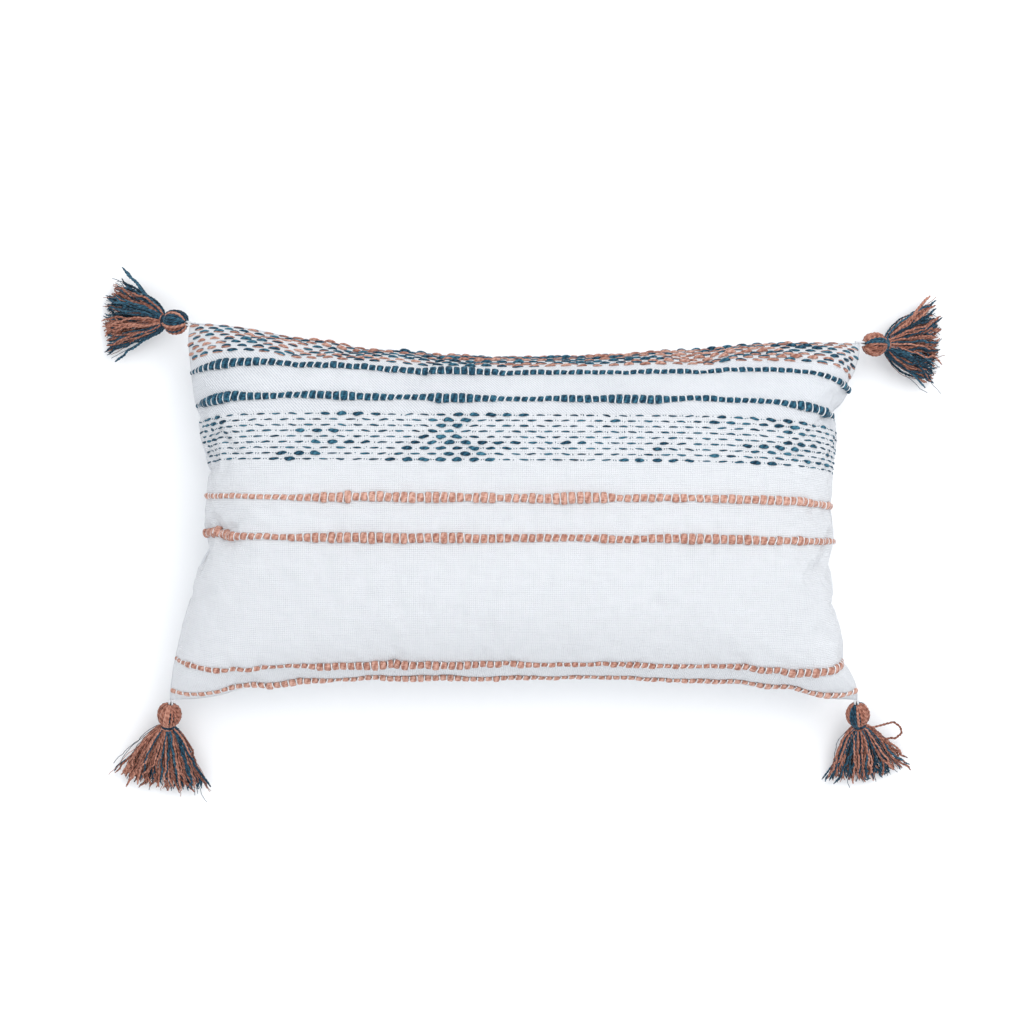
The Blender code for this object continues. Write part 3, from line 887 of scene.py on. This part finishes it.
def skirt_lines(corner, axes, count, points, reach_range, spread, wave, seed):
    """Centre lines of loose strands that leave the neck and fan out over the floor, and each one's lane."""
    _, outward, sideways, upward = axes
    rng = np.random.default_rng(seed)
    neck = middle_of(f"tassel_{corner}_neck_wrap")
    ends = np.array([vert.co for vert in frame["nodes"][f"tassel_{corner}_skirt"].data.vertices]) - neck
    length = (ends @ outward).max()
    half_width = np.abs(ends @ sideways).max()
    t = np.linspace(0, 1, points)[None, :]
    lane = np.clip(np.linspace(-1, 1, count) + rng.normal(0, 0.05, count), -1.05, 1.05)[:, None] * spread
    layer = rng.uniform(-1, 1, (count, 1))
    clump = 0.07 * smooth_noise(lane * 10, seed + 2, 1.0)
    reach = (rng.uniform(*reach_range, (count, 1)) + clump) * (1 - 0.13 * lane**2) * length
    along = reach * t
    opening = t ** rng.uniform(0.50, 0.78, (count, 1))
    crossing = 0.16 * rng.standard_normal((count, 1)) * t**2
    side = (lane + crossing) * half_width * opening + 0.0030 * lane * (1 - t)
    arch = np.sin(math.pi * np.minimum(t * 1.05, 1))
    rise = layer * SKIRT_HALF_THICKNESS + SKIRT_BULGE * arch * layer * (1 - 0.55 * np.abs(lane))
    lines = neck + along[..., None] * outward + side[..., None] * sideways + rise[..., None] * upward
    for k in range(count):
        for axis, direction in enumerate((sideways, upward)):
            bend = smooth_noise(along[k], seed + 31 * k + axis, 0.016) * t[0]
            crimp = 0.35 * smooth_noise(along[k], seed + 57 * k + axis, 0.0045) * t[0] ** 0.5
            lines[k] += (wave * (bend + crimp) * (1.0, 0.6)[axis])[:, None] * direction
    lines[..., 2] = np.maximum(lines[..., 2], 0.0010 + 0.0030 * rng.random((count, 1)))
    return lines, lane[:, 0]


def tassel_skirt(corner, axes, materials):
    """Thick two-ply strands in groups of one colour, and thin wisps that have come loose from them."""
    upward = axes[3]
    seed = 900 + 5000 * CORNERS.index(corner)
    strands, lanes = skirt_lines(corner, axes, STRAND_COUNT, STRAND_POINTS, *STRAND_SHAPE, seed)
    wisps, wisp_lanes = skirt_lines(corner, axes, WISP_COUNT, WISP_POINTS, *WISP_SHAPE, seed + 5)
    strand_navy = smooth_noise(lanes * 10, seed + 7, 0.85) + 0.45 * random.standard_normal(len(lanes)) > 0
    wisp_navy = random.random(len(wisp_lanes)) < 0.5
    up = upward[None, None]
    for kind, chosen, fine in (("navy", strand_navy, wisp_navy), ("terracotta", ~strand_navy, ~wisp_navy)):
        thickness = STRAND * (1 + 0.12 * random.standard_normal((chosen.sum(), 1)))
        taper = np.interp(np.linspace(0, 1, STRAND_POINTS), (0, 0.93, 1), (0.9, 1.0, 0.45))
        pieces = [tube_arrays(strands[chosen], thickness * taper, up, 7, ply=STRAND_PLY)]
        pieces.append(tube_arrays(wisps[fine], WISP, up, 4))
        skirt = tassel_piece(corner, f"skirt_{kind}", join_arrays(pieces), materials[kind])
        if kind == "navy":
            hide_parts(f"tassel_{corner}_skirt")


def stray_loop(corner, axes, material):
    """A strand that has worked loose: it leaves the neck, turns back in a loop and ends near the skirt."""
    _, outward, sideways, upward = axes
    neck = middle_of(f"tassel_{corner}_neck_wrap")
    t = np.linspace(0, 1, 90)[:, None]
    reach = STRAY_REACH * np.sin(math.pi * t) ** 0.7
    swing = STRAY_SWING * np.sin(2 * math.pi * t)
    line = neck + (0.004 + reach) * sideways + (0.003 + 0.010 * t - swing) * outward
    line = line + (0.002 + 0.004 * np.sin(math.pi * t)) * upward
    for axis, direction in enumerate((outward, upward)):
        line += 0.0013 * smooth_noise(t * 0.09, 700 + axis, 0.006) * direction
    body = tube_arrays(line[None], STRAND, upward[None, None], 7, ply=STRAND_PLY)
    tassel_piece(corner, "stray_loop", body, material)


def tassel_loop(corner, axes, binding):
    """Two strands of white cord sewn into the corner, going into the head."""
    place, outward, sideways, upward = axes
    head = middle_of(f"tassel_{corner}_head")
    t = np.linspace(0, 1, 14)[:, None]
    lines = []
    for side in (-1, 1):
        start = place - LOOP_ROOT * outward + side * LOOP_STRAND * sideways
        lines.append(start + (head - start) * t + side * 0.0008 * np.sin(math.pi * t) * sideways)
    body = tube_arrays(np.array(lines), LOOP_STRAND, upward[None, None], 8, ply=0.004)
    loop = tassel_piece(corner, "loop", body, binding, f"tassel_{corner}_loop_body")
    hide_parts(f"tassel_{corner}_loop")


# Inside and zip


def inner_cushion(front, back, lining, fill):
    """The insert's two casing sheets and its fill, as smaller copies of the stuffed cover."""
    middle = np.array([0, 0, SEAM_HEIGHT])
    for name, sheet in (("insert_casing_front", front), ("insert_casing_back", back)):
        shrunk = middle + (sheet.grid[::2, ::2] - middle) * INSERT_SHARE
        flat = sheet.flat()[::2, ::2]
        columns, rows = shrunk.shape[:2]
        casing = new_mesh(name, shrunk, grid_quads(columns, rows, sheet.sign < 0), lining, uv=flat)
        thick = casing.modifiers.new("Thickness", "SOLIDIFY")
        thick.thickness = 0.0004
        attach(casing, "pillow")
        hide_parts(name)
    shells = []
    for sheet in (front, back):
        coarse = sheet.grid[::4, ::4]
        outward = sheet.normals[::4, ::4][1:-1, 1:-1]
        lumps = FILL_LUMPS * np.random.default_rng(7).standard_normal(coarse[..., :1].shape)
        inner = middle + (coarse - middle) * FILL_SHARE
        inner[1:-1, 1:-1] += lumps[1:-1, 1:-1] * outward - FILL_DROP * outward
        shells.append(inner)
    columns, rows = shells[0].shape[:2]
    quads = np.concatenate([grid_quads(columns, rows), grid_quads(columns, rows, True) + columns * rows])
    body = new_mesh("insert_fill", np.concatenate([s.reshape(-1, 3) for s in shells]), quads, fill)
    weld = body.modifiers.new("Edge", "WELD")
    weld.merge_threshold = 0.0001
    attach(body, "pillow")
    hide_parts("insert_fill")


def zip_coil(name, material):
    """One side's nylon coil: a flattened spring sewn along the tape."""
    low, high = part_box(name)
    centre = (low + high) / 2
    turns = int((high.x - low.x) / COIL_PITCH)
    angle = np.linspace(0, 2 * math.pi * turns, turns * 10)
    line = np.empty((len(angle), 3))
    line[:, 0] = np.linspace(low.x + COIL_END, high.x - COIL_END, len(angle))
    line[:, 1] = centre.y + COIL_HALF[0] * np.cos(angle)
    line[:, 2] = centre.z + COIL_HALF[1] * np.sin(angle)
    body = tube_arrays(line[None], COIL_WIRE, np.array([[[0.0, -1.0, 0.0]]]), 6)
    coil = new_mesh(name, body[0], body[1], material, body[2])
    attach(coil, "pillow")
    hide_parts(name)


def give(nodes, material):
    """Puts a material on CAD nodes that stay as they are."""
    for node in nodes:
        mesh = frame["nodes"][node].data
        mesh.materials.clear()
        mesh.materials.append(material)


set_stage()
front_points, back_points = fitted(*inflate())
front_sheet = Sheet(front_points, 1)
back_sheet = Sheet(back_points, -1)

front_cloth = woven("front_slub_weave", FRONT_THREAD, *FRONT_COLOURS, relief=0.00050, twill=TWILL)
back_cloth = woven("back_weave", BACK_THREAD, *BACK_COLOURS, slub=0.5, relief=0.0002)
lining_cloth = woven("lining_cloth", LINING_THREAD, *LINING_COLOURS, slub=0.2, relief=0.0001)
navy_yarn = yarn("navy_yarn", NAVY)
terracotta_yarn = yarn("terracotta_yarn", TERRACOTTA)
binding_yarn = yarn("white_thread", BINDING)
tassel_materials = {
    "navy": yarn("tassel_navy", TASSEL_NAVY),
    "terracotta": yarn("tassel_terracotta", TASSEL_TERRACOTTA),
}

cover_panel("cover_front_panel", front_sheet, front_cloth)
cover_panel("cover_back_panel", back_sheet, back_cloth)
for number, (stripe_name, from_top) in enumerate(STRIPES.items()):
    stripe_yarn = navy_yarn if stripe_name.startswith("navy") else terracotta_yarn
    stripe(stripe_name, front_sheet, from_top, stripe_yarn, binding_yarn, 10 * number)
navy_band(front_sheet, navy_yarn)
top_band(front_sheet, navy_yarn, terracotta_yarn)
for corner_name in CORNERS:
    corner_axes = tassel_axes(corner_name)
    tassel_head(corner_name, corner_axes, tassel_materials)
    tassel_wrap(corner_name, corner_axes, tassel_materials)
    tassel_skirt(corner_name, corner_axes, tassel_materials)
    tassel_loop(corner_name, corner_axes, binding_yarn)
stray_loop("bottom_right", tassel_axes("bottom_right"), tassel_materials["terracotta"])
inner_cushion(front_sheet, back_sheet, lining_cloth, fibre_fill())
for coil_name in ("zipper_coil_front", "zipper_coil_back"):
    zip_coil(coil_name, nylon())
give(("zipper_slider", "zipper_pull", "zipper_top_stop", "zipper_bottom_stop"), zip_metal())
give(("zipper_tape_front", "zipper_tape_back"), zip_tape())
